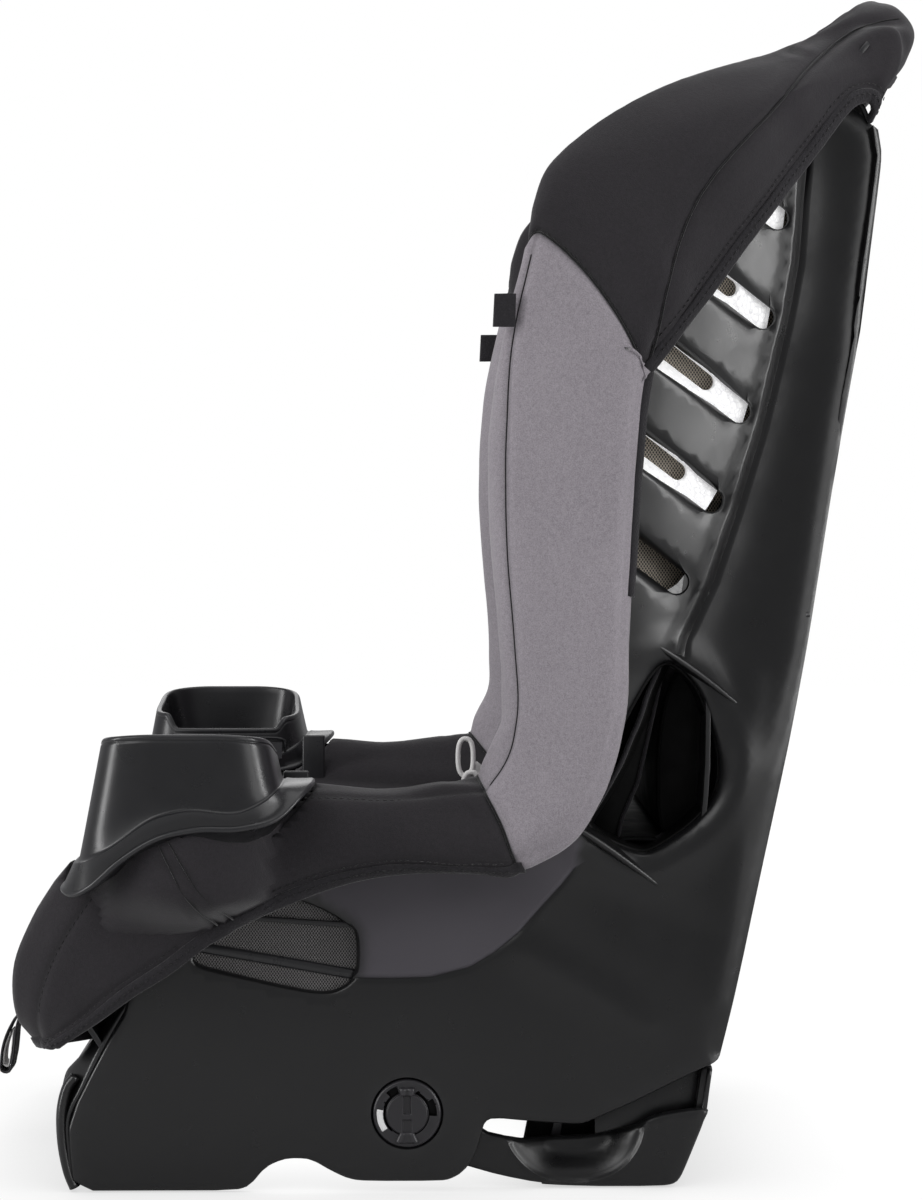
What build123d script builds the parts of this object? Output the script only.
"""Convertible child car seat, modelled in millimetres.

+Z up. The seat faces -Y, +X is the seat's left side. The origin is on the resting
plane, on the centre line, straight below the pivot of the recline foot.
Side-view tables hold (Y, Z) points.
"""
import os
import math
import numpy as np
from build123d import *

# ---------------------------------------------------------------- driving sizes
SHELL_T = 3.0            # wall of the moulded shell
LINER_GAP = 0.4          # from the shell wall to the foam and mesh inside it
COVER_T = 5.0            # sewn cover, as one layer
VENT_W = 14.0            # width of a side vent
PIVOT_Z = 45.9           # recline foot pivot height (Y = 0)
PIVOT_HOLE_R = 20.5
PIVOT_HUB_R = PIVOT_HOLE_R - 0.06
FOOT_X = 168.0           # half width of the recline foot
WEB_W = 38.0             # harness webbing
WEB_T = 1.6
BELT_W = 25.0            # lower anchor webbing and pull strap
TETHER_BOLT_R = 4.0
TETHER_BOLT_Z = 560
SLOT_X = 56.0            # centre of a shoulder slot
SLOT_Z = (392.0, 432.0, 472.0)
STRAP_SLOT_Z = SLOT_Z[1]  # slot that the shoulder straps use
HIP_X, HIP_Y = 112, 61   # centre of a hip slot
CROTCH_Y = -37           # centre of the crotch slot
WIDE_X = 230             # half width of a prism that the side surface trims
CUT_X = (100, 260)       # X range of a cut or trim through the left side panel

# ---------------------------------------------------------------- moulded shell tables
# side surface of the shell: (Y, Z, X) points that it passes near
SIDE_CONTROL = [
    (-197.1, -0.5, 178), (-98, -0.5, 178), (19.4, 5.4, 178), (45.2, 41.2, 178),
    (104.5, 39.4, 178), (185.6, 80.3, 177), (-203.6, 52.9, 178), (-121.4, 64.6, 178),
    (0, 45.9, 178), (84, 82.2, 178), (142.7, 111.5, 177.5), (-62.8, 99.8, 178),
    (13.5, 111.6, 178), (-150.8, 111.6, 178), (-174.4, 146.7, 177), (197, 127.5, 174.5),
    (207.8, 176.6, 172), (218.7, 228.1, 169), (229.1, 273.9, 166), (239.1, 326.3, 162),
    (246, 369.4, 158.5), (255.3, 428.8, 155), (267.6, 497.8, 152), (279.4, 583.8, 149),
    (282.5, 613.1, 148), (271.2, 636.3, 148), (261.6, 644.7, 148), (237.5, 631.3, 150),
    (236.8, 608, 150.5), (232, 549, 151.5), (219.3, 487, 153.5), (209, 446, 155.5),
    (195.1, 401.4, 158), (181.1, 360, 161.5), (164.2, 324.1, 166), (208.3, 573.2, 167),
    (174.1, 521.8, 187), (150, 486.3, 197), (138.3, 439.8, 199), (135.7, 393.4, 194),
    (129, 346.7, 190), (118.7, 299.8, 186), (100, 587.3, 210), (89.5, 554.8, 212),
    (111.6, 520.4, 209), (76.9, 528.9, 212), (68.8, 502.9, 212), (61.9, 478.2, 211),
    (59.1, 439.6, 210), (59.1, 405, 209), (61.4, 370.3, 207), (88.6, 451.2, 207),
    (88.8, 370.3, 203), (64.4, 323.9, 203), (66.9, 289, 200), (65.2, 265.6, 197),
    (89, 288.8, 197), (124.6, 608.7, 204), (159.3, 628.9, 190), (196, 642.3, 172),
    (233.4, 652.1, 155), (170.9, 585.8, 190), (140.9, 555.5, 203), (202.1, 611.3, 170),
    (107.2, 211.8, 182), (113, 250, 184), (148.7, 316.9, 176), (187.4, 257.7, 170),
    (142.8, 193.4, 175), (172.4, 169.6, 173), (136.9, 152.5, 176.5), (101.6, 170.3, 178),
    (196.2, 210.6, 170.5), (55.4, 243.3, 194), (36.9, 231.6, 188), (-4, 230, 183),
    (-56.7, 231.2, 183), (-121.2, 222.2, 181), (-159.5, 202.7, 179), (19.4, 181.4, 173),
    (-33.5, 172.7, 174), (54.6, 181.9, 177), (13.5, 146.6, 176.5), (-27.6, 134.9, 177),
    (66.2, 206.1, 184), (89.4, 229.8, 187), (-68.7, 187.6, 176), (-98.1, 170, 176)]
# outline of the side panel
OUTLINE = [
    (-197.1, 0), (-150.8, 0), (-100.9, 0), (-92.7, 3), (-83.9, 13.8), (-73.6, 18.5),
    (-64.9, 19.2), (-56.3, 18.3), (-44.3, 11.2), (-34, 6.5), (-24, 5.4), (19.4, 5.4),
    (25.9, 6.5), (32.9, 10.6), (39.9, 19.5), (44, 32.4), (45.2, 40), (50.5, 42.9),
    (71.6, 40.9), (98.6, 39), (104.5, 39.4), (113.5, 43.2), (134.4, 52.3), (156.7, 63.5),
    (179.5, 74.4), (183.8, 76.8), (185.6, 80.3), (196.9, 127.1), (207.5, 176.6), (218.9, 228),
    (228.9, 273.9), (238.9, 326.3), (245.9, 369.4), (255.3, 428.8), (267.6, 497.8),
    (270.4, 512.2), (279.3, 583.8), (282.8, 613.1), (280.5, 627.4), (271.6, 636.3),
    (261.6, 643.5), (233.4, 652.1), (196, 642.3), (159.3, 628.9), (124.5, 608.6),
    (99.9, 587.1), (89.5, 569.1), (84.3, 551.8), (76.9, 528.9), (68.8, 503), (61.9, 478.3),
    (59.1, 439.6), (59.1, 405), (61.5, 370.3), (64.4, 323.9), (66.9, 289), (65.2, 265.7),
    (55.4, 243.3), (36.9, 231.6), (-4, 230.1), (-56.7, 231.3), (-121.2, 222.3),
    (-159.4, 202.8), (-173.1, 182), (-178.5, 152.5), (-172.6, 126.1), (-162.6, 113.2),
    (-180.2, 82.1), (-200.2, 42.1), (-199.6, 23.4)]
REAR_BELT_OPENING = [
    (152.4, 312), (158.9, 310.8), (172.7, 296.9), (179.7, 276.5), (184.9, 258.3),
    (184.9, 240.3), (179.9, 227.7), (169.6, 216.6), (158.8, 208.5), (142.5, 198.7),
    (132.8, 200), (110, 210.7), (104.9, 218.8), (104.6, 226.9), (113, 249.9), (126, 273.5),
    (136.8, 293.5), (145.8, 307.6)]
FRONT_BELT_OPENING = [
    (-121.8, 143.7), (-128.6, 134.9), (-101, 127.9), (-73.6, 121.4), (-49.5, 117),
    (-37.5, 120.4), (-29.9, 128.2), (-29.7, 152.3), (-35.8, 157.5), (-49.5, 166),
    (-68.7, 173.1), (-92.2, 170.7), (-112.7, 158.4)]
# arc centres of each vent
VENTS = [
    ((218.8, 574.6), (170.5, 604.5)), ((210.6, 515.9), (135.6, 568.3)),
    ((196.6, 460.3), (97.6, 532)), ((179.8, 407.3), (88.9, 474)),
    ((158.8, 359.3), (86.7, 412.6))]
# front face of the inner tub on the centre line
TUB_SEAT = [
    (-172, 70), (-181, 84), (-193, 102), (-204, 126), (-199, 150), (-182, 162), (-140, 167),
    (-75, 161), (0, 156), (50, 152), (95, 149), (130, 156), (158, 172)]
TUB_BACK = [
    (172, 200), (176, 240), (177, 290), (176, 330), (176, 375), (180, 430), (188, 482),
    (198, 530), (212, 575), (229, 612), (247, 643), (262, 666), (276, 684), (286, 692)]
REAR_EDGE = [
    (183.8, 76.8), (185.6, 80.3), (196.9, 127.1), (207.5, 176.6), (218.9, 228), (228.9, 273.9),
    (238.9, 326.3), (245.9, 369.4), (255.3, 428.8), (267.6, 497.8), (279.3, 583.8),
    (282.8, 613.1), (280.5, 627.4)]
FRONT_WALL = [(-196, 0), (-202, 12), (-206, 32), (-206, 52), (-202, 68), (-192, 74), (-172, 74)]
TOP_BAND = [
    (230, 640), (262, 664), (282, 640), (281, 622), (276, 622), (277, 638), (262, 656),
    (233, 636)]
DECK = [(129, 158), (207, 190), (207, 187), (130, 154)]
FLOOR_RIB = [(-150, 166), (-150, 60), (-147, 60), (-147, 165)]
HUMP_OUTER = [(176, 194), (158, 203), (152, 212), (152, 262), (158, 296), (178, 326)]
HUMP_INNER = [(181, 197), (159.7, 206), (155, 213), (155, 261.5), (160.8, 294.5), (181, 324)]
HUMP_X = 129             # half width of the hump
LIP_X = 122              # half width of the opening in the rear wall
CROSS_RIB_Z = (338.0, 520.0, 598.0)
# impact foam between the side panel and the tub
FOAM_ZONE = [
    (76, 449), (168, 385), (188, 412), (203, 455), (216, 505), (224, 560), (228, 594),
    (150, 594), (112, 560), (80, 482)]

# ---------------------------------------------------------------- sewn cover table
# rows from the front hem to the top hem; (X, Y, Z) from the centre line to the left edge
STATIONS = {
    "hem_front": [
        (0, -190, 86), (60, -190, 86), (110, -189, 86), (140, -187, 86), (158, -213, 88.3),
        (166, -209.7, 88.4), (172, -207.2, 88.9), (176, -205, 88.9), (178, -202.4, 88.1)],
    "low_front": [
        (0, -209, 98), (60, -209, 98), (110, -207, 98), (145, -203, 98), (170, -222.2, 105.6),
        (181, -211.5, 108.5), (187, -200.2, 108.3), (188, -191.4, 105), (188, -183.2, 102.1)],
    "mid_front": [
        (0, -222, 125), (60, -221, 125), (110, -218, 126), (148, -211, 128), (180, -219.8, 136.5),
        (191, -203.9, 138.1), (197, -186.9, 134.3), (198, -174.6, 126.9), (196, -162, 118.5)],
    "top_front": [
        (0, -219, 154), (60, -218, 156), (110, -210, 162), (148, -197, 174), (180, -202.2, 176.4),
        (193, -186.2, 173.9), (201, -165.6, 161), (202, -151, 146.6), (199, -139.7, 132.9)],
    "nose": [
        (0, -196, 176), (60, -194, 177), (110, -184, 184), (148, -166, 205), (181, -169.9, 216.3),
        (197, -154.4, 209.8), (207, -133.3, 190.7), (208, -123.4, 171.1), (204, -114.4, 152.1)],
    "seat1": [
        (0, -140, 184), (60, -139, 184), (108, -132, 190), (145, -122, 220), (180, -121.3, 235),
        (197, -113.1, 230.2), (209, -100.2, 208.2), (211, -90.9, 187.1), (206, -83.6, 168.6)],
    "seat2": [
        (0, -75, 178), (60, -75, 178), (108, -72, 184), (145, -66, 218), (180, -62.7, 241.4),
        (198, -60.2, 236.1), (211, -52.2, 217.1), (213, -46.4, 198.8), (207, -40.8, 184.9)],
    "seat3": [
        (0, -10, 172), (60, -10, 172), (108, -8, 178), (146, -4, 214), (182, -12.8, 239.3),
        (199, -11.4, 235), (213, -7.3, 219), (214, -3.2, 203), (208, -0.9, 192.5)],
    "seat4": [
        (0, 50, 168), (60, 50, 168), (108, 48, 174), (147, 44, 212), (184, 19.4, 243),
        (201, 22.2, 238.1), (214, 30.7, 217.4), (215, 35.3, 200.2), (208, 38.3, 192.5)],
    "bound_low": [
        (0, 92, 172), (60, 91, 172), (108, 84, 180), (148, 66, 216), (187, 41, 246.1),
        (204, 44.2, 240.1), (215, 54.3, 220.3), (216, 60, 204.9), (208, 64.9, 192.5)],
    "bight1": [
        (0, 116, 190), (60, 114, 190), (108, 104, 198), (148, 78, 232), (190, 47.9, 258.1),
        (206, 54, 253.5), (217, 70.4, 232.6), (218, 84.1, 216.6), (209, 94.3, 207.6)],
    "bight2": [
        (0, 128, 222), (60, 126, 222), (108, 114, 228), (150, 84, 258), (193, 54.3, 275.8),
        (208, 61.4, 269.3), (219, 83.5, 252.9), (220, 102.4, 241.5), (210, 113.3, 235.4)],
    "back1": [
        (0, 138, 268), (60, 136, 268), (110, 122, 272), (152, 84, 290), (196, 55.9, 300.4),
        (211, 63.6, 295.5), (222, 91.4, 287.5), (223, 114.8, 281.3), (212, 125.3, 278.2)],
    "back2": [
        (0, 146, 320), (60, 144, 320), (112, 129, 322), (155, 82, 330), (198, 53.6, 335.3),
        (213, 61.3, 332.4), (225, 93.6, 329.5), (226, 117.5, 327.2), (214, 128, 324.4)],
    "back3": [
        (0, 154, 375), (60, 152, 375), (114, 136, 376), (158, 78, 378), (200, 50, 376),
        (214, 57.8, 373.9), (227, 93.5, 373), (228, 118.5, 370.7), (215, 129.7, 368.2)],
    "back4": [
        (0, 163, 430), (60, 161, 430), (116, 145, 428), (160, 75, 420), (202, 48.3, 416.6),
        (215, 56.6, 415.4), (228, 94.6, 416.4), (229, 120.8, 415.3), (215, 132.5, 414.2)],
    "back5": [
        (0, 172, 482), (60, 170, 482), (118, 153, 478), (163, 76, 462), (204, 49.4, 454.2),
        (216, 57.2, 454.4), (229, 94.5, 458.7), (229, 123.1, 458.7), (215, 136, 455.6)],
    "back6": [
        (0, 183, 530), (60, 181, 530), (120, 163, 522), (168, 82, 500), (207, 54.5, 494.6),
        (218, 60, 499.2), (228, 96.3, 502.1), (228, 126.5, 493.5), (215, 140, 482.1)],
    "bound_high": [
        (0, 197, 575), (60, 195, 575), (122, 176, 564), (176, 94, 536), (212, 69.4, 554.8),
        (221, 74.2, 561), (228, 104.8, 537.5), (228, 128.8, 507.8), (214, 143.6, 486.7)],
    "head1": [
        (0, 214, 612), (60, 212, 612), (124, 194, 600), (180, 112, 566), (214, 72.2, 577.7),
        (224, 79.3, 579), (230, 117.3, 563.6), (229, 143, 523.7), (213, 159.2, 508.1)],
    "head2": [
        (0, 232, 643), (60, 230, 643), (124, 213, 632), (178, 136, 594), (212, 81.5, 600.3),
        (221, 92.6, 601.1), (227, 133.5, 589), (227, 153.5, 546.7), (209, 176.2, 529.7)],
    "head3": [
        (0, 249, 668), (60, 247, 668), (122, 231, 658), (172, 165, 621), (206, 107.1, 624.1),
        (213, 120, 622.1), (220, 159.2, 608.7), (221, 170, 570.7), (202, 195.4, 555.6)],
    "head4": [
        (0, 264, 690), (60, 262, 690), (118, 247, 681), (162, 196, 648), (194, 144.4, 645.9),
        (200, 156.2, 642.8), (208, 187.9, 629), (209, 194.7, 601.2), (191, 216.3, 582.2)],
    "head5": [
        (0, 276, 707), (60, 274, 707), (112, 261, 699), (148, 224, 672), (176, 186.8, 664.1),
        (182, 197.4, 660.3), (191, 219.2, 646.3), (192, 220.3, 635.1), (176, 237.9, 609.4)],
    "head6": [
        (0, 286, 719), (60, 284, 718), (104, 273, 711), (132, 248, 691), (155, 227.4, 677.7),
        (162, 234.3, 673.1), (171, 244.4, 659.5), (172, 242, 662.9), (162, 259.2, 637)],
    "top1": [
        (0, 297, 721), (60, 295, 720), (96, 288, 716), (118, 275, 705), (136, 256.6, 689.4),
        (142, 261.8, 686.1), (151, 270.7, 672.9), (156, 270.1, 660.3), (154, 272.7, 644.5)],
    "top2": [
        (0, 308, 717), (60, 307, 716), (94, 303, 712), (114, 296, 704), (130, 277.2, 697.5),
        (136, 283.6, 696.6), (143, 290.4, 681.2), (149, 287.7, 658.9), (150, 281.6, 645.6)],
    "top3": [
        (0, 316, 703), (60, 315, 702), (94, 312, 699), (114, 308, 693), (130, 292.3, 696.3),
        (136, 297.4, 691.8), (142, 300.1, 677.7), (147, 295.8, 659.1), (149, 285.3, 644.6)],
    "top4": [
        (0, 317, 686), (60, 316, 685), (94, 314, 682), (114, 311, 677), (130, 303.7, 683.1),
        (136, 305.2, 678.6), (141, 304.4, 667.1), (145, 296.6, 653.4), (147, 287.4, 641.2)],
    "hem_top": [
        (0, 309, 668), (60, 308, 667), (94, 306, 664), (114, 303, 660), (130, 298.3, 660.8),
        (135, 296.3, 657.1), (139, 293.4, 650.6), (143, 288, 641.7), (145, 284.1, 634.3)],
}

os.makedirs("parts", exist_ok=True)
PARTS = {}


# ---------------------------------------------------------------- solids
def mirror_x(shape):
    return mirror(shape, about=Plane.YZ)


def put_pair(name, left):
    """Store a left piece and its mirror image."""
    PARTS[f"{name}_left"] = left
    PARTS[f"{name}_right"] = mirror_x(left)


def poly_solid(points, faces):
    """Closed solid of flat triangles; quads are split and slivers are left out."""
    vectors = [Vector(*map(float, p)) for p in points]
    triangles = []
    for f in faces:
        for tri in [f] if len(f) == 3 else [(f[0], f[1], f[2]), (f[0], f[2], f[3])]:
            a, b, c = (vectors[i] for i in tri)
            if (b - a).cross(c - a).length < 1e-6:
                continue
            triangles.append(Face(Wire.make_polygon([a, b, c], close=True)))
    solid = Solid(Shell(triangles))
    if solid.volume < 0:
        solid = Solid(Shell([-triangle for triangle in triangles]))
    return solid


def loops_solid(loops):
    """Closed solid through loops of equal length; the end loops are capped by a centre fan."""
    n = len(loops[0])
    points = [p for loop in loops for p in loop]
    faces = []
    last = (len(loops) - 1) * n
    for base in range(0, last, n):
        for j in range(n):
            a, b = base + j, base + (j + 1) % n
            faces.append((a, b, b + n, a + n))
    for base in (0, last):
        points.append(tuple(np.mean(np.array(points[base:base + n], float), axis=0)))
        hub = len(points) - 1
        for j in range(n):
            a, b = base + j, base + (j + 1) % n
            faces.append((b, a, hub) if base == 0 else (a, b, hub))
    return poly_solid(points, faces)


def sheet_solid(grid, offset0, offset1):
    """Closed solid between two offsets of a grid of points (rows x columns x 3).

    Offsets are positive along (row direction) x (column direction).
    """
    g = np.array(grid, float)
    normal = np.cross(np.gradient(g, axis=0), np.gradient(g, axis=1))
    normal /= np.linalg.norm(normal, axis=2)[..., None] + 1e-12
    points = [tuple(p) for offset in (offset0, offset1)
              for p in (g + normal * offset).reshape(-1, 3)]
    rows, cols = g.shape[:2]
    m = rows * cols          # from a point of the first layer to its twin in the second
    faces = []
    for i in range(rows - 1):
        for j in range(cols - 1):
            a = i * cols + j
            b, c, d = a + 1, a + cols + 1, a + cols
            faces.append((a, d, c, b))
            faces.append((m + a, m + b, m + c, m + d))
    for i in range(rows - 1):
        for j in (0, cols - 1):
            a, b = i * cols + j, (i + 1) * cols + j
            faces.append((a, m + a, m + b, b) if j == 0 else (b, m + b, m + a, a))
    for j in range(cols - 1):
        for i in (0, rows - 1):
            a, b = i * cols + j, i * cols + j + 1
            faces.append((b, m + b, m + a, a) if i == 0 else (a, m + a, m + b, b))
    return poly_solid(points, faces)


def web_sections(path, width, thick, width_dir=(1, 0, 0)):
    """Rectangles across a 3-D path. width_dir is one direction, or one per point."""
    p = np.array(path, float)
    across = np.array(width_dir, float)
    if across.ndim == 1:
        across = np.tile(across, (len(p), 1))
    along = np.gradient(p, axis=0)
    along /= np.linalg.norm(along, axis=1)[:, None]
    sections = []
    for centre, t, w in zip(p, along, across):
        w = w - t * (w @ t)
        w /= np.linalg.norm(w)
        a, b = w * width / 2, np.cross(t, w) * thick / 2
        corners = (centre + a + b, centre - a + b, centre - a - b, centre + a - b)
        sections.append([tuple(c) for c in corners])
    return sections


def ribbon(path, width=WEB_W, thick=WEB_T, width_dir=(1, 0, 0)):
    return loops_solid(web_sections(path, width, thick, width_dir))


def hollow_ribbon(path, width, thick, inner_width, inner_thick):
    """Sleeve of rectangular section, open at both ends."""
    points = []
    for outer, inner in zip(web_sections(path, width, thick),
                            web_sections(path, inner_width, inner_thick)):
        points += outer + inner
    faces = []
    last = (len(path) - 1) * 8
    for base in range(0, last, 8):
        for j in range(4):
            a, b = base + j, base + (j + 1) % 4
            c, d = a + 4, b + 4
            faces.append((a, b, b + 8, a + 8))
            faces.append((c, c + 8, d + 8, d))
    for base in (0, last):
        for j in range(4):
            a, b = base + j, base + (j + 1) % 4
            c, d = b + 4, a + 4
            faces.append((a, d, c, b) if base == 0 else (a, b, c, d))
    return poly_solid(points, faces)


def yz_prism(points, x0, x1):
    face = Face(Wire.make_polygon([Vector(0, y, z) for y, z in points], close=True))
    return extrude(face.moved(Location((x0, 0, 0))), amount=x1 - x0, dir=(1, 0, 0))


def thick_line(points, thick):
    """Polygon between an open (Y, Z) line and its offset to the left of its travel."""
    p = np.array(points, float)
    d = np.gradient(p, axis=0)
    d /= np.linalg.norm(d, axis=1)[:, None]
    q = p + np.c_[-d[:, 1], d[:, 0]] * thick
    return [tuple(v) for v in p] + [tuple(v) for v in q[::-1]]


def box(x0, x1, y0, y1, z0, z1):
    centre = Location(((x0 + x1) / 2, (y0 + y1) / 2, (z0 + z1) / 2))
    return centre * Box(x1 - x0, y1 - y0, z1 - z0)


def rounded_box(limits, axis, radius):
    """Box whose edges along one axis are rounded."""
    block = box(*limits)
    return fillet(block.edges().filter_by(axis), radius)


def cyl_x(y, z, radius, x0, x1):
    return Location(((x0 + x1) / 2, y, z)) * (Rotation(0, 90, 0) * Cylinder(radius, x1 - x0))


def cyl_y(x, y, z, radius, length):
    """Cylinder along Y, centred on (x, y, z)."""
    return Location((x, y, z)) * (Rotation(90, 0, 0) * Cylinder(radius, length))


def slot_prism(start, end, width, x0, x1):
    """Stadium with arc centres at start and end in the side view."""
    angle = math.atan2(end[1] - start[1], end[0] - start[0])
    points = []
    for (y, z), first in ((end, angle - math.pi / 2), (start, angle + math.pi / 2)):
        for k in range(9):
            th = first + math.pi * k / 8
            points.append((y + width / 2 * math.cos(th), z + width / 2 * math.sin(th)))
    return yz_prism(points, x0, x1)


def y_on(line, z):
    """Y of a (Y, Z) line at a height."""
    return float(np.interp(z, [p[1] for p in line], [p[0] for p in line]))


# ---------------------------------------------------------------- slots shared by shell and cover
def cut_shoulder_slots(shape, half_width, y_range):
    """y_range gives the (Y, Y) reach of the cut at a slot height."""
    for z in SLOT_Z:
        y0, y1 = y_range(z)
        for side in (1, -1):
            x = side * SLOT_X
            shape = shape - box(x - half_width, x + half_width, y0, y1, z - 5, z + 5)
    return shape


def cut_hip_slots(shape, top):
    for side in (1, -1):
        x = side * HIP_X
        shape = shape - box(x - 5, x + 5, HIP_Y - 21, HIP_Y + 21, 140, top)
    return shape


def crotch_slot(half_width, top):
    return box(-half_width, half_width, CROTCH_Y - 5, CROTCH_Y + 5, 150, top)


# ---------------------------------------------------------------- cup holders
CUP_X, CUP_Y, CUP_RIM_Z = 197.0, -127.0, 270.0
CUP_N = 48               # points in a ring
CUP_WALL = 4.5
CUP_FLOOR_R, CUP_FLOOR_Z = 38.0, 192
RIM_DIP = 20             # drop of the rim on the side towards the seat
# height of the flange's edge and of its top where it meets the wall
EDGE_Z = [
    (-204, 183), (-200, 182), (-193, 180.5), (-181, 186), (-166, 199), (-143, 213.6),
    (-120, 219), (-91, 220), (-70.6, 226), (-59, 237), (-50, 245)]
TOP_Z = [
    (-204, 196), (-186.6, 201), (-171.5, 208), (-142.5, 227), (-127, 231), (-90, 231.6),
    (-78, 238), (-70, 245), (-50, 247.5)]


def z_on(line, y):
    """Z of a (Y, Z) line at a given Y."""
    return float(np.interp(y, [p[0] for p in line], [p[1] for p in line]))


def superellipse(th, a, b, n):
    return 1.0 / ((abs(math.cos(th)) / a) ** n + (abs(math.sin(th)) / b) ** n) ** (1.0 / n)


def cup_wall(th, z):
    """Plan radius of the cup's outer wall: a rounded square that widens downwards."""
    depth = CUP_RIM_Z - z
    b = 48.5 + depth * (0.19 if math.sin(th) < 0 else 0.22)
    return superellipse(th, 46.5 + depth * 0.05, b, 4.2)


def flange_r(th):
    return superellipse(th, 53.0, 73.5, 3.0)


def rim_z(th):
    """The wall towards the seat is lower, with a smooth step on each side."""
    from_seat_side = abs((math.degrees(th) % 360) - 180)
    t = min(1.0, max(0.0, (46 - from_seat_side) / 10))
    return CUP_RIM_Z - RIM_DIP * t * t * (3 - 2 * t)


def cup_ring(radius_and_z):
    """Ring of points about the cup's axis; radius_and_z(th) gives (radius, Z)."""
    ring = []
    for k in range(CUP_N):
        th = 2 * math.pi * k / CUP_N
        r, z = radius_and_z(th)
        ring.append((CUP_X + r * math.cos(th), CUP_Y + r * math.sin(th), z))
    return ring


def at_top(dr, dz):
    """Where the wall meets the flange top, found by iterating."""
    def radius_and_z(th):
        z = 230.0
        for _ in range(3):
            r = cup_wall(th, z) + dr
            z = z_on(TOP_Z, CUP_Y + r * math.sin(th)) + dz
        return r, z
    return radius_and_z


def at_edge(dr, dz):
    return lambda th: (flange_r(th) + dr, z_on(EDGE_Z, CUP_Y + flange_r(th) * math.sin(th)) + dz)


def under_z(th):
    """Height of the underside inside the flange."""
    return min(at_top(-4, -9)(th)[1], 208.0)


def well(th, u):
    """Inside of the wall, from below the rim (u = 0) to a round floor (u = 1)."""
    z = rim_z(th) - 8 - (rim_z(th) - 8 - CUP_FLOOR_Z) * u
    return (cup_wall(th, CUP_RIM_Z) - CUP_WALL) * (1 - u) + CUP_FLOOR_R * u, z


cup_rings = [
    lambda th: (39.5, 187.0),
    lambda th: (44.0, under_z(th)),
    at_edge(-1.6, -0.2),
    at_edge(0, 2.6),
    at_top(0.6, 0),
    lambda th: (cup_wall(th, rim_z(th) - 4), rim_z(th) - 4),
    lambda th: (cup_wall(th, rim_z(th)) - 2.2, rim_z(th)),
    lambda th: (cup_wall(th, CUP_RIM_Z) - CUP_WALL, rim_z(th) - 3.0),
    lambda th: well(th, 0.3),
    lambda th: well(th, 1.0)]
# space around the cup, cleared from the shell and the cover
zone_rings = [
    lambda th: (46.5, 184.0),
    lambda th: (47.5, under_z(th) - 2.6),
    at_edge(1.5, -3.2),
    lambda th: (flange_r(th) + 1.5, 345.0)]
put_pair("cup_holder", loops_solid([cup_ring(ring) for ring in cup_rings]))
cup_zone = loops_solid([cup_ring(ring) for ring in zone_rings])


# ---------------------------------------------------------------- side surface of the shell
SIDE_STEP = 30.0         # spacing of the points that the surface is fitted to


def spline_kernel(p, q):
    d = np.linalg.norm(p[:, None] - q[None], axis=2)
    return np.where(d > 0, d ** 2 * np.log(d + 1e-9), 0)


def fit_spline(points, values, smoothing):
    """Coefficients of a smoothed thin-plate spline."""
    k = spline_kernel(points, points) + smoothing * np.eye(len(points))
    q = np.c_[np.ones(len(points)), points]
    a = np.block([[k, q], [q.T, np.zeros((3, 3))]])
    return np.linalg.solve(a, np.r_[values, np.zeros(3)])


side_points = np.array(SIDE_CONTROL)
side_yz = side_points[:, :2] / 100
side_fit = fit_spline(side_yz, side_points[:, 2], 0.02)


def side_x(y, z):
    """Half width of the shell's outer surface at (Y, Z)."""
    q = np.c_[np.ravel(y), np.ravel(z)] / 100.0
    x = spline_kernel(q, side_yz) @ side_fit[:-3] + side_fit[-3] + q @ side_fit[-2:]
    return np.clip(x, 120, 222).reshape(np.shape(y))


def side_face(offset):
    """Left side surface, moved outwards by offset."""
    yy, zz = np.meshgrid(np.arange(-252, 340, SIDE_STEP), np.arange(-14, 735, SIDE_STEP),
                         indexing="ij")
    xx = side_x(yy, zz) + offset
    points = [[Vector(float(x), float(y), float(z)) for x, y, z in zip(*row)]
              for row in zip(xx, yy, zz)]
    return Face.make_surface_from_array_of_points(points, tol=0.5, min_deg=3, max_deg=3)


def inward(face, depth):
    return extrude(face, amount=depth, dir=(-1, 0, 0))


def body_inside(face):
    """Everything to the right of a left side surface, within the body's limits."""
    return inward(face, 450) & box(-300, 300, -236, 312, -8, 705)


# ---------------------------------------------------------------- moulded shell
def side_panel(outer_face):
    panel = inward(outer_face, SHELL_T) & yz_prism(OUTLINE, *CUT_X)
    for opening in (REAR_BELT_OPENING, FRONT_BELT_OPENING):
        panel = panel - yz_prism(opening, *CUT_X)
    for start, end in VENTS:
        panel = panel - slot_prism(start, end, VENT_W, *CUT_X)
    return panel - cyl_x(0, PIVOT_Z, PIVOT_HOLE_R, *CUT_X)


def tub_sheet():
    """Seat and back sheet, narrowed towards its top."""
    tub = yz_prism(thick_line(TUB_SEAT + TUB_BACK, -SHELL_T), -WIDE_X, WIDE_X)
    for side in (1, -1):
        corners = [(150, 628), (108, 700), (300, 700), (300, 628)]
        points = [Vector(side * x, 0, z) for x, z in corners]
        wedge = Face(Wire.make_polygon(points, close=True))
        tub = tub - extrude(wedge, amount=400, dir=(0, 1, 0))
    return tub


def hump():
    """Hollow bulge on the front of the lower back."""
    inner_x = HUMP_X - SHELL_T
    return yz_prism(HUMP_OUTER, -HUMP_X, HUMP_X) - yz_prism(HUMP_INNER, -inner_x, inner_x)


def rear_wall():
    wall = yz_prism(thick_line(REAR_EDGE, SHELL_T), -WIDE_X, WIDE_X)
    return wall - box(-LIP_X, LIP_X, 100, 320, 150, 640) - box(-150, 150, 100, 320, 60, 96)


def rear_lips():
    """Flanges along both sides of the opening in the rear wall."""
    profile = thick_line([(203.5, 158.0)] + REAR_EDGE[4:], 26)
    inner_x = LIP_X - SHELL_T
    return yz_prism(profile, inner_x, LIP_X) + yz_prism(profile, -LIP_X, -inner_x)


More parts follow.
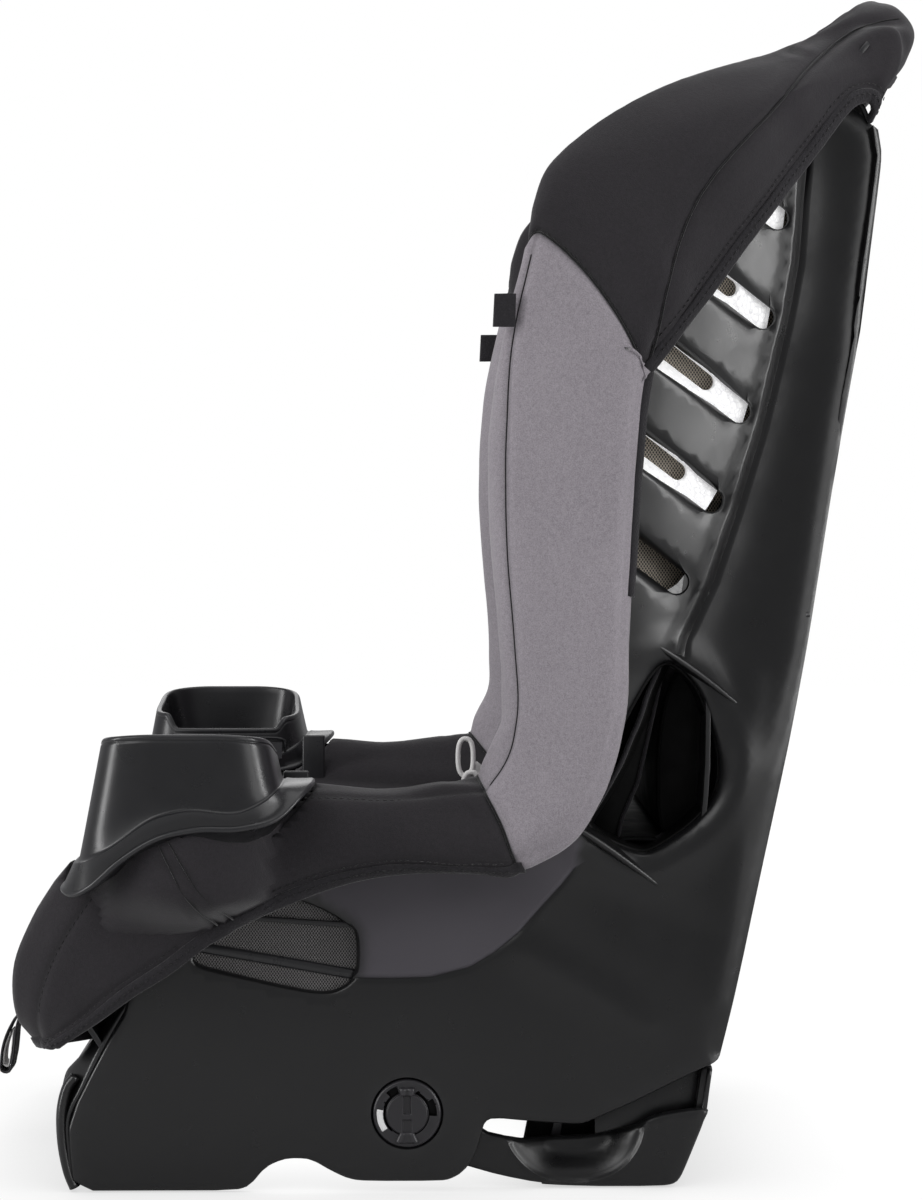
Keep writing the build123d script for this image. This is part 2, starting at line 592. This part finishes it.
def cross_ribs():
    """Flat ribs between the tub and the rear wall."""
    ribs = []
    for z in CROSS_RIB_Z:
        y0, y1 = y_on(TUB_BACK, z) + 1.5, y_on(REAR_EDGE, z) - 1
        for x0, x1 in ((HIP_X, WIDE_X), (-WIDE_X, -HIP_X)):
            ribs.append(box(x0, x1, y0, y1, z, z + SHELL_T))
    return sum(ribs[1:], start=ribs[0])


def foam_pocket():
    """Room for the impact foam between the side panel and the tub."""
    outline = [(y + (1 if y > 120 else -14), z + (1 if z > 450 else -1)) for y, z in FOAM_ZONE]
    return yz_prism(outline, *CUT_X) - body_inside(side_face(-17.0))


def seat_shell():
    outer_face = side_face(0.0)
    panel = side_panel(outer_face)
    inside = body_inside(outer_face)
    front_wall = yz_prism(thick_line(FRONT_WALL, -SHELL_T), -176, 176)
    top_band = yz_prism(TOP_BAND, -WIDE_X, WIDE_X)
    # the deck and the floor rib have gaps for the adjuster strap
    deck = yz_prism(DECK, -WIDE_X, WIDE_X) - box(-24, 24, 176, 202, 150, 200)
    floor_rib = yz_prism(FLOOR_RIB, -WIDE_X, WIDE_X) - box(-150, 150, -160, -140, 0, 120)
    floor_rib = floor_rib - box(-25, 25, -160, -140, 110, 158)
    core = (tub_sheet() + hump() + front_wall + rear_wall() + rear_lips() + cross_ribs()
            + top_band + deck + floor_rib)
    core = core & inside & mirror_x(inside)
    pocket = foam_pocket()
    core = core - pocket - mirror_x(pocket)

    shell = panel + mirror_x(panel) + core
    shell = cut_shoulder_slots(
        shell, 23, lambda z: (y_on(TUB_BACK, z) - 8, y_on(TUB_BACK, z) + 12))
    shell = cut_hip_slots(shell, 170)
    shell = shell - crotch_slot(22, 170)
    shell = shell - box(-22, 22, -216, -180, 92, 118)  # adjuster window
    shell = shell - cyl_y(0, 208, TETHER_BOLT_Z, TETHER_BOLT_R + 0.3, 30)
    return shell - cup_zone - mirror_x(cup_zone)


PARTS["seat_shell"] = seat_shell()

# ---------------------------------------------------------------- foam, mesh and bars in the sides
put_pair("foam_liner",
         yz_prism(FOAM_ZONE, *CUT_X) & inward(side_face(-SHELL_T - LINER_GAP), 12.0))


def side_mesh():
    """Thin sheet behind the front belt opening, a little larger than the opening."""
    cy, cz = (float(np.mean(values)) for values in zip(*FRONT_BELT_OPENING))
    outline = [(cy + (y - cy) * 1.07, cz + (z - cz) * 1.12) for y, z in FRONT_BELT_OPENING]
    sheet = inward(side_face(-SHELL_T - LINER_GAP), 1.4)
    return yz_prism(outline, *CUT_X) & sheet & box(100, 260, -200, 0, 100, 153.5)


put_pair("side_mesh", side_mesh())
put_pair("mesh_bar", ribbon([(166, -122, 146), (166, -80, 139), (166, -30, 130)], 9, 6, (0, 0, 1)))

# ---------------------------------------------------------------- sewn cover
ROWS = list(STATIONS)
half_grid = np.array(list(STATIONS.values()), float)
right_half = half_grid[:, 1:, :][:, ::-1, :] * np.array([-1.0, 1.0, 1.0])
full_grid = np.concatenate([right_half, half_grid], axis=1)


def cover_sheet(first, last, trim_first=0.0, trim_last=0.0):
    """Cover between two rows; a trim pulls an end row in by that share of the spacing."""
    i, j = ROWS.index(first), ROWS.index(last)
    g = full_grid[i:j + 1].copy()
    g[0] = full_grid[i] + (full_grid[i + 1] - full_grid[i]) * trim_first
    g[-1] = full_grid[j] + (full_grid[j - 1] - full_grid[j]) * trim_last
    return sheet_solid(g, 0, COVER_T)


seat_cover = cover_sheet("hem_front", "bound_low", 0, 0.03)
seat_cover = seat_cover - cup_zone - mirror_x(cup_zone)
seat_cover = seat_cover - box(-24, 24, -245, -178, 88, 122) - crotch_slot(23, 190)
PARTS["seat_cover"] = cut_hip_slots(seat_cover, 205)
PARTS["back_cover"] = cut_shoulder_slots(
    cover_sheet("bound_low", "bound_high", 0.03, 0.05), 22, lambda z: (130, 200))
PARTS["head_cover"] = cover_sheet("bound_high", "hem_top", 0.13, 0)


# ---------------------------------------------------------------- pads and foam
# Offsets from the cover surface: negative is on the child's side, positive is under it.
def cover_point(part, at, x=0.0):
    """Point of the cover at X, at a given Y on the "seat" or a given Z on the "back"."""
    if part == "seat":
        first, last, key, value = ROWS.index("nose"), ROWS.index("bound_low"), 1, 2
    else:
        first, last, key, value = ROWS.index("bound_low"), ROWS.index("head5"), 2, 1
    rows = half_grid[first:last + 1]
    columns = [float(np.interp(at, rows[:, c, key], rows[:, c, value])) for c in (0, 1, 2)]
    found = float(np.interp(abs(x), [0.0, 60.0, 110.0], columns))
    return (x, at, found) if part == "seat" else (x, found, at)


def curved_pad(part, stations, half_width, offset0, offset1):
    """Pad that follows the cover across the width."""
    xs = np.linspace(-half_width, half_width, 9)
    grid = [[cover_point(part, at, float(x)) for x in xs] for at in stations]
    return sheet_solid(grid, offset0, offset1)


def flat_pad(part, stations, half_width, offset0, offset1):
    """Pad that follows the cover's centre line and is straight across the width."""
    xs = np.linspace(-half_width, half_width, 5)
    grid = [[(float(x), *cover_point(part, at)[1:]) for x in xs] for at in stations]
    return sheet_solid(grid, offset0, offset1)


PARTS["seat_pad"] = curved_pad("seat", (-22, 5, 32, 58, 82), 84, -1.0, -10.0)
back_pad = curved_pad("back", (236, 262, 300, 340, 380, 420, 450, 484), 86, -1.0, -8.0)
PARTS["back_pad"] = cut_shoulder_slots(back_pad, 22, lambda z: (110, 200))
PARTS["head_pillow"] = curved_pad("back", (494, 520, 548, 576, 602), 92, -1.0, -20.0)
PARTS["seat_foam_front"] = flat_pad("seat", (-180, -150, -110, -70, -48), 92, 6.0, 11.0)
PARTS["seat_foam_rear"] = flat_pad("seat", (-26, 0, 30, 58, 84), 92, 6.0, 11.0)
PARTS["back_foam"] = flat_pad("back", (332, 350, 382), 96, 7.0, 18.0)

# ---------------------------------------------------------------- tags and tongue holders
put_pair("tag", box(221.6, 223.0, 50, 64.5, 506.5, 525.6))
put_pair("tongue_holder", box(136, 139, 35, 45, 219, 246) - box(130, 145, 37.5, 42.5, 223, 242))

# ---------------------------------------------------------------- buckle
# Modelled flat: X across, Y along from the crotch strap to the tongues, Z up through it.
BUCKLE_Y, BUCKLE_Z = -12, 196
TILT_SIN, TILT_COS = 0.295, 0.9555
BUCKLE = Plane(origin=(0, BUCKLE_Y, BUCKLE_Z), x_dir=(1, 0, 0), z_dir=(0, -TILT_SIN, TILT_COS))


def from_buckle(x, along, up):
    """Seat coordinates of a point given in the buckle's frame."""
    return (x, BUCKLE_Y + TILT_COS * along - TILT_SIN * up,
            BUCKLE_Z + TILT_SIN * along + TILT_COS * up)


def buckle_body():
    body = rounded_box((-27, 27, 0, 56, -9.5, 9.5), Axis.Z, 9)
    body = chamfer(body.edges().group_by(Axis.Z)[-1], 2.5)
    body = body - box(-13, 13, 14, 37, 3.0, 12)  # button recess
    body = body - box(3, 25.5, 30, 60, -1.6, 1.6) - box(-25.5, -3, 30, 60, -1.6, 1.6)
    return body - box(-20, 20, -2, 11, -2, 2)  # crotch strap slot


def buckle_button():
    button = rounded_box((-12, 12, 15, 36, 7.2, 12), Axis.Z, 3)
    return chamfer(button.edges().group_by(Axis.Z)[-1], 1)


def tongue():
    """Blade in the buckle, with a wider strap loop outside it."""
    plate = box(4, 24, 33, 62, -1.2, 1.2) + box(4, 52.4, 60, 83.4, -1.2, 1.2)
    plate = fillet(plate.edges().filter_by(Axis.Z).sort_by(Axis.Y)[-2:], 5)
    return plate - box(7.0, 49.2, 64, 80.2, -3, 3) - box(9, 19, 38, 46, -3, 3)


PARTS["buckle_body"] = BUCKLE.location * buckle_body()
PARTS["buckle_button"] = BUCKLE.location * buckle_button()
put_pair("tongue", BUCKLE.location * tongue())

# ---------------------------------------------------------------- harness webbing
# from the tongue up the chest and through the shoulder slot
shoulder_path = [
    from_buckle(27.5, 75.4, -3.4), from_buckle(27.5, 75.4, 0), from_buckle(27.5, 75.4, 8),
    (29, 64, 238), (34, 86, 250), (39, 104, 257), (40, 110.5, 266), (40, 115.8, 296),
    (40, 121.1, 326), (40, 125.8, 352), (45, 129.7, 376), (52, 134.1, 402),
    (SLOT_X, 138.5, 422), (SLOT_X, 146, 430), (SLOT_X, 156, STRAP_SLOT_Z),
    (SLOT_X, 188, STRAP_SLOT_Z)]
put_pair("shoulder_strap", ribbon(shoulder_path))

# from the tongue to the hip slot: (point, width direction)
hip_path = [
    (from_buckle(27.5, 73.4, 4.2), (1, 0, 0)), (from_buckle(27.5, 73.4, 1.5), (1, 0, 0)),
    (from_buckle(27.5, 73.4, -2), (1, 0, 0)), (from_buckle(27.5, 73.3, -5), (1, 0, 0)),
    (from_buckle(28.2, 72.6, -8.5), (1, 0.04, 0)), ((36, 60.0, 200.5), (0.85, 0.5, 0)),
    ((52, 61, 197), (0.5, 0.85, 0)), ((76, 61, 191.5), (0.1, 1, 0)), ((98, 61, 187), (0, 1, 0)),
    ((109, 61, 181), (0, 1, 0)), ((HIP_X, HIP_Y, 172), (0, 1, 0)),
    ((HIP_X, HIP_Y, 142), (0, 1, 0))]
hip_points, hip_width_dirs = zip(*hip_path)
put_pair("hip_strap", ribbon(hip_points, width_dir=hip_width_dirs))

PARTS["crotch_strap"] = ribbon([
    (0, CROTCH_Y, 144.5), (0, CROTCH_Y, 172), (0, -36, 181), (0, -31, 188.5), (0, -23, 192.6),
    from_buckle(0, 0, 0), from_buckle(0, 9, 0)])
PARTS["hip_anchor_rods"] = Compound(
    children=[cyl_y(side * HIP_X, HIP_Y, 137, 4, 52) for side in (1, -1)])
PARTS["crotch_anchor_plate"] = box(-26, 26, CROTCH_Y - 9, CROTCH_Y + 9, 140.5, 143.5)

pad_path = [
    (42.5, 127.7, 362), (45.5, 130.0, 377), (49, 132.2, 391), (52.4, 134.4, 404),
    (55, 136.7, 414)]
put_pair("harness_pad", hollow_ribbon(pad_path, 60, 11, 40.5, 4.6))

# ---------------------------------------------------------------- chest clip
# modelled flat, in a plane that follows the webbing
CLIP = Plane(origin=(0, 115.8, 296), x_dir=(1, 0, 0), z_dir=(0, -0.985, 0.174))
clip = rounded_box((16, 63, -13, 13, -5.5, 5.5), Axis.Z, 5)
clip = clip - box(20, 60, -20, 20, -2.6, 2.6)  # webbing passage
female = clip + box(2, 17, -13, 13, -5.5, 5.5) - box(-1, 15, -9, 9, -3, 3)
female = female - box(4, 12, -5, 5, 2, 7)  # button window
male = mirror_x(clip) + box(-17, 0.6, -13, 13, -5.5, 5.5) + box(-1, 13.5, -8.5, 8.5, -2.9, -1.3)
PARTS["chest_clip_left"] = CLIP.location * female
PARTS["chest_clip_right"] = CLIP.location * male
PARTS["chest_clip_button"] = CLIP.location * box(4.6, 11.4, -4.4, 4.4, 1.2, 7.0)

# ---------------------------------------------------------------- harness adjuster
# The straps run down behind the tub to a splitter plate, then one strap runs under the seat.
put_pair("rear_strap", ribbon([
    (SLOT_X, 190.2, 431.6), (SLOT_X, 191.2, 424), (47, 190.4, 405), (32, 189.2, 375),
    (21.5, 188.2, 352), (21.5, 188.2, 336)]))
splitter = box(-44, 44, 190.0, 192.6, 322, 356)
PARTS["splitter_plate"] = splitter - box(-40, 40, 180, 200, 344, 350) - box(
    -21, 21, 180, 200, 328, 333)
PARTS["adjuster_strap"] = ribbon([
    (0, 188.2, 331), (0, 188.6, 260), (0, 189.6, 215), (0, 189.2, 195), (0, 186, 178),
    (0, 176, 162), (0, 158, 148), (0, 130, 138), (0, 95, 133.5), (0, 50, 132.5),
    (0, -20, 132.5), (0, -90, 129), (0, -140, 119), (0, -172, 110.6), (0, -180, 109.4)])
housing = rounded_box((-21, 21, -214, -182, 93.5, 117.5), Axis.Y, 3)
housing = housing - box(-19.6, 19.6, -220, -170, 101.5, 113.0)
PARTS["adjuster_housing"] = housing - box(-14, 14, -220, -196, 112, 120)
PARTS["adjuster_lever"] = box(-13, 13, -219, -197, 113.6, 116.4) + box(
    -13, 13, -219, -216.5, 110, 116.4)
PARTS["adjuster_pin"] = cyl_x(-194, 115, 1.2, -15, 15)

# pull strap with a loop at its front end
PULL_LOOP = [
    (-243.0, 82), (-248.5, 72), (-252.0, 60), (-253.5, 49), (-257.5, 44), (-262.0, 48),
    (-262.0, 58), (-258.0, 70), (-250.5, 80), (-244.6, 84)]
pull = ribbon([(0, -92, 104), (0, -218, 104), (0, -229, 102.6), (0, -236, 97), (0, -240, 88),
               (0, -243.5, 80)], BELT_W, 2.2)
loop_outer = np.array(PULL_LOOP, float)
loop_centre = loop_outer.mean(axis=0)
loop_inner = loop_centre + (loop_outer - loop_centre) * np.array([0.52, 0.84])
pull_loop = yz_prism([tuple(p) for p in loop_outer], -BELT_W / 2, BELT_W / 2)
pull_loop = pull_loop - yz_prism([tuple(p) for p in loop_inner], -20, 20)
PARTS["pull_strap"] = pull + pull_loop

# ---------------------------------------------------------------- lower anchor belt, in the base
LATCH_Y = 60
latch_path = [(-126, 112), (-90, 109), (-40, 106.5), (0, 106), (40, 106.5), (90, 109), (126, 112)]
PARTS["latch_belt"] = ribbon([(x, LATCH_Y, z) for x, z in latch_path], BELT_W, 1.6, (0, 1, 0))
connector = rounded_box((130.5, 170, LATCH_Y - 14, LATCH_Y + 14, 106, 118), Axis.Z, 5)
connector = connector - box(152, 174, LATCH_Y - 5, LATCH_Y + 5, 100, 125)
connector = connector - box(136, 150, LATCH_Y - 10, LATCH_Y + 10, 104, 115.5)
connector = connector + cyl_y(130.5, LATCH_Y, 112, 3.2, 28)
put_pair("latch_connector", connector)
gate = box(140.3, 149.4, LATCH_Y - 9.4, LATCH_Y + 9.4, 107.0, 113.6)
put_pair("latch_gate", gate + cyl_y(140.3, LATCH_Y, 110.3, 3.3, 18.8))

# ---------------------------------------------------------------- top tether, stowed down the back
PARTS["tether_bolt"] = (cyl_y(0, 212.5, TETHER_BOLT_Z, TETHER_BOLT_R, 17)
                        + cyl_y(0, 223, TETHER_BOLT_Z, 8, 4)
                        + cyl_y(0, 203.2, TETHER_BOLT_Z, 7, 2.4))
tether_plate = rounded_box((-15, 15, 216.4, 218.8, 540, 571), Axis.Y, 6)
tether_plate = tether_plate - cyl_y(0, 217, TETHER_BOLT_Z, TETHER_BOLT_R + 0.06, 20)
PARTS["tether_plate"] = tether_plate - box(-11.5, 11.5, 210, 225, 543.5, 548)
PARTS["tether_strap"] = ribbon([
    (0, 214.6, 546), (0, 216, 530), (0, 219, 500), (0, 221.6, 470), (0, 224, 430),
    (0, 226.5, 380), (0, 228, 330), (0, 228, 318)], 22, 1.6)
tether_adjuster = rounded_box((-17, 17, 215.5, 229.5, 455, 489), Axis.Y, 4)
PARTS["tether_adjuster"] = tether_adjuster - box(-12, 12, 219.0, 223.6, 450, 495)
hook = rounded_box((-14, 14, 224, 232, 268, 322), Axis.Y, 7)
hook = hook - box(-11.6, 11.6, 226.4, 229.6, 310, 325)  # strap slot
hook = hook - box(-6.5, 6.5, 220, 236, 279, 300)        # eye
hook = hook - box(-16, -6, 220, 236, 284.5, 302)        # mouth, closed by the gate
PARTS["tether_hook"] = hook
PARTS["tether_gate"] = box(-12.6, -7.4, 225.4, 230.6, 285, 298.4) + cyl_y(
    -10, 228, 298.4, 2.6, 5.2)

# ---------------------------------------------------------------- recline foot
FOOT_SIDE = [
    (-22, 34), (-8, 24), (20, 17), (38, 11.6), (55, 6.7), (79, 2), (103, 0), (150, 0),
    (160, 1.4), (164.4, 9), (170.5, 25), (177, 41), (181.5, 71), (176.5, 71), (171, 46),
    (150, 42.7), (142, 40), (134.4, 34.5), (102.6, 27.4), (69.6, 26.6), (61.6, 28.9),
    (43.5, 33), (32, 48), (20, 61), (0, 68), (-18, 61), (-25, 47)]
FOOT_RIB = [(60, 8), (160, 3), (170, 30), (160, 30), (140, 18), (80, 14)]
HUB_END_X = 179.6


def recline_foot():
    """Pan along the lower edge of two side plates, with ribs and pivot hubs."""
    side_plate = yz_prism(FOOT_SIDE, FOOT_X - 5, FOOT_X)
    pan_line = [(42, 10.5)] + FOOT_SIDE[4:13]
    pan = yz_prism(thick_line(pan_line, 4.0), -FOOT_X + 2, FOOT_X - 2)
    foot = pan + side_plate + mirror_x(side_plate)
    for x in (-110, -55, 0, 55, 110):
        foot = foot + yz_prism(FOOT_RIB, x - 1.5, x + 1.5)
    hub = cyl_x(0, PIVOT_Z, PIVOT_HUB_R, FOOT_X - 3, HUB_END_X)
    return foot + hub + mirror_x(hub)


PARTS["recline_foot"] = recline_foot()
# disc with a slot across its outer face
put_pair("foot_pivot_cap", cyl_x(0, PIVOT_Z, 16.5, HUB_END_X + 0.1, HUB_END_X + 3)
         - box(181, 190, -2.2, 2.2, PIVOT_Z - 8, PIVOT_Z + 8))

for name, shape in PARTS.items():
    if not isinstance(shape, (Solid, Compound)):
        shape = Compound(children=list(shape.solids()))
    export_step(shape, f"parts/{name}.step")
